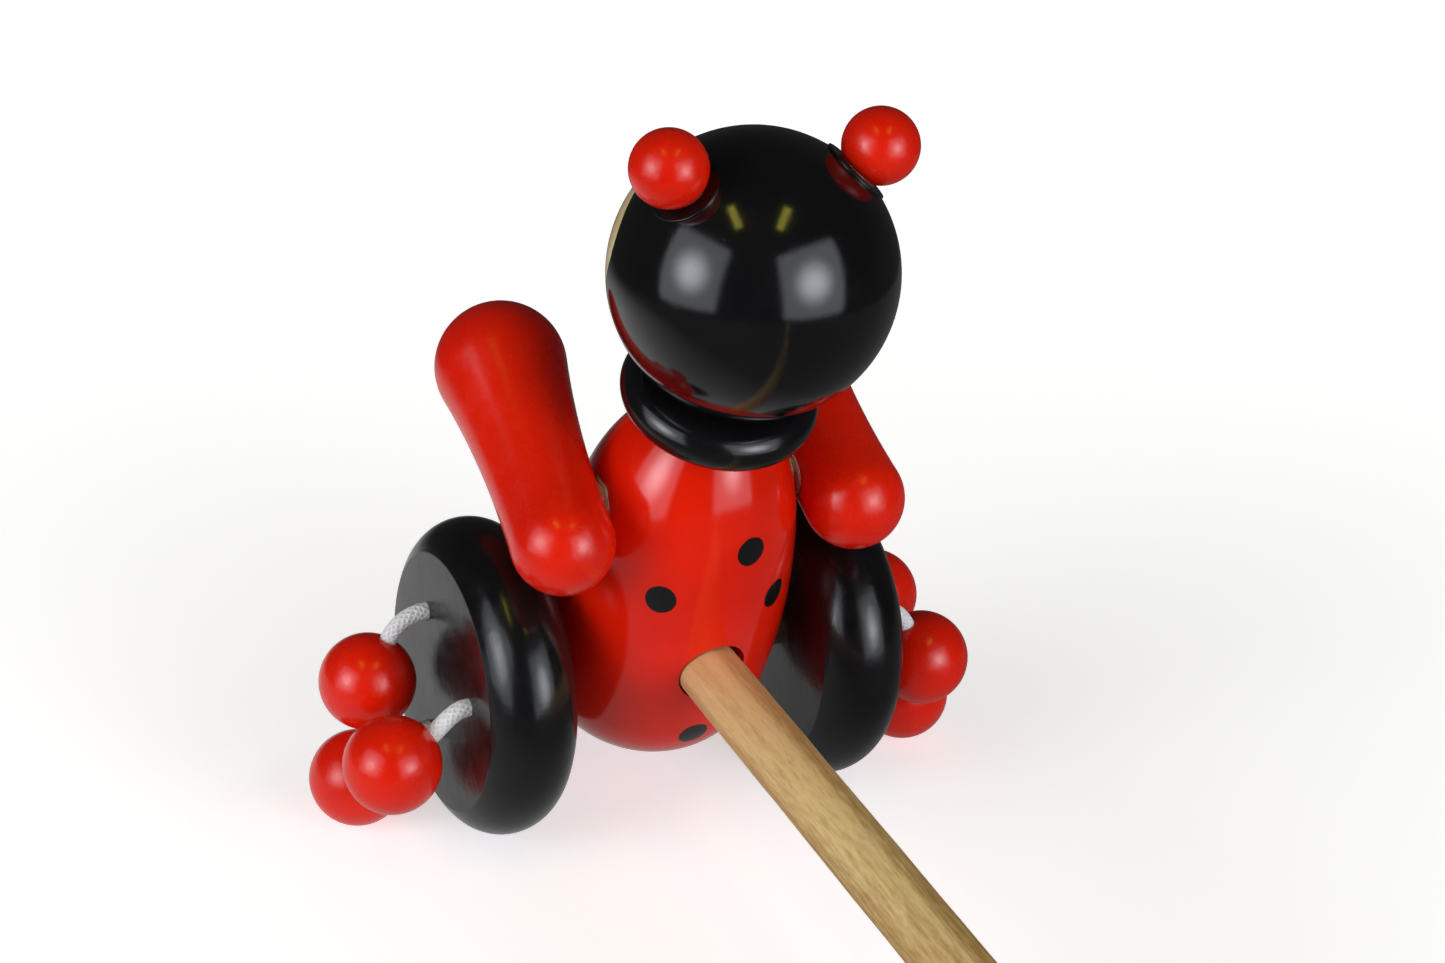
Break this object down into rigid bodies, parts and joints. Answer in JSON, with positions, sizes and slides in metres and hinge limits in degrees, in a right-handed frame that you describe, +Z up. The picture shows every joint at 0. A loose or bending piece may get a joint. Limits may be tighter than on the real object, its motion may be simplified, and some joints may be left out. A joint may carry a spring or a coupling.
{
  "type": "push-along ladybird toy",
  "caption": "Turned wooden ladybird on two wheels, pushed by a long stick; loose beads on cords hang from the wheels and clatter as they turn.",
  "frame": {"origin": "on the floor, under the middle of the axle", "axes": "+Z up, +X to the toy's left along the axle, +Y to the rear along the stick; the toy faces -Y"},
  "size_m": [0.1451, 0.5117, 0.1635],
  "materials": {
    "red_lacquer": "red gloss lacquer on turned wood",
    "black_lacquer": "black gloss lacquer on turned wood",
    "pale_stick_wood": "bare sanded dowel with brown grain",
    "bare_dowel": "bare dowel",
    "cotton_cord": "twisted white cotton"
  },
  "bodies": {
    "toy": {"body": "red_lacquer", "collar": "black_lacquer", "head": "black_lacquer", "neck_dowel": "bare_dowel", "antenna_washer_left": "black_lacquer", "antenna_washer_right": "black_lacquer", "antenna_ball_left": "red_lacquer", "antenna_ball_right": "red_lacquer", "antenna_peg_left": "bare_dowel", "antenna_peg_right": "bare_dowel", "arm_left": "red_lacquer", "arm_right": "red_lacquer", "shoulder_peg_left": "bare_dowel", "shoulder_peg_right": "bare_dowel", "stick": "pale_stick_wood"},
    "wheelset": {"axle": "bare_dowel", "wheel_left": "black_lacquer", "wheel_right": "black_lacquer"},
    "bead_left_1": {"bead_left_1": "red_lacquer", "cord_left_1": "cotton_cord"},
    "bead_left_2": {"bead_left_2": "red_lacquer", "cord_left_2": "cotton_cord"},
    "bead_left_3": {"bead_left_3": "red_lacquer", "cord_left_3": "cotton_cord"},
    "bead_right_1": {"bead_right_1": "red_lacquer", "cord_right_1": "cotton_cord"},
    "bead_right_2": {"bead_right_2": "red_lacquer", "cord_right_2": "cotton_cord"},
    "bead_right_3": {"bead_right_3": "red_lacquer", "cord_right_3": "cotton_cord"}
  },
  "joints": [
    {"name": "wheels_turn", "type": "hinge", "parent": "toy", "child": "wheelset", "pos_m": [0, 0, 0.0329], "axis": [1, 0, 0], "continuous": true},
    {"name": "bead_left_1_hangs", "type": "hinge", "parent": "wheelset", "child": "bead_left_1", "pos_m": [0.04635, -0.00903, 0.04488], "axis": [1, 0, 0], "continuous": true},
    {"name": "bead_left_2_hangs", "type": "hinge", "parent": "wheelset", "child": "bead_left_2", "pos_m": [0.04635, 0.01489, 0.03473], "axis": [1, 0, 0], "continuous": true},
    {"name": "bead_left_3_hangs", "type": "hinge", "parent": "wheelset", "child": "bead_left_3", "pos_m": [0.04635, -0.00586, 0.01909], "axis": [1, 0, 0], "continuous": true},
    {"name": "bead_right_1_hangs", "type": "hinge", "parent": "wheelset", "child": "bead_right_1", "pos_m": [-0.04635, -0.01286, 0.04063], "axis": [1, 0, 0], "continuous": true},
    {"name": "bead_right_2_hangs", "type": "hinge", "parent": "wheelset", "child": "bead_right_2", "pos_m": [-0.04635, 0.01312, 0.04017], "axis": [1, 0, 0], "continuous": true},
    {"name": "bead_right_3_hangs", "type": "hinge", "parent": "wheelset", "child": "bead_right_3", "pos_m": [-0.04635, -0.00026, 0.0179], "axis": [1, 0, 0], "continuous": true}
  ],
  "couplings": [
    {"joint": "bead_left_1_hangs", "follows": "wheels_turn", "ratio": -1},
    {"joint": "bead_left_2_hangs", "follows": "wheels_turn", "ratio": -1},
    {"joint": "bead_left_3_hangs", "follows": "wheels_turn", "ratio": -1},
    {"joint": "bead_right_1_hangs", "follows": "wheels_turn", "ratio": -1},
    {"joint": "bead_right_2_hangs", "follows": "wheels_turn", "ratio": -1},
    {"joint": "bead_right_3_hangs", "follows": "wheels_turn", "ratio": -1}
  ]
}
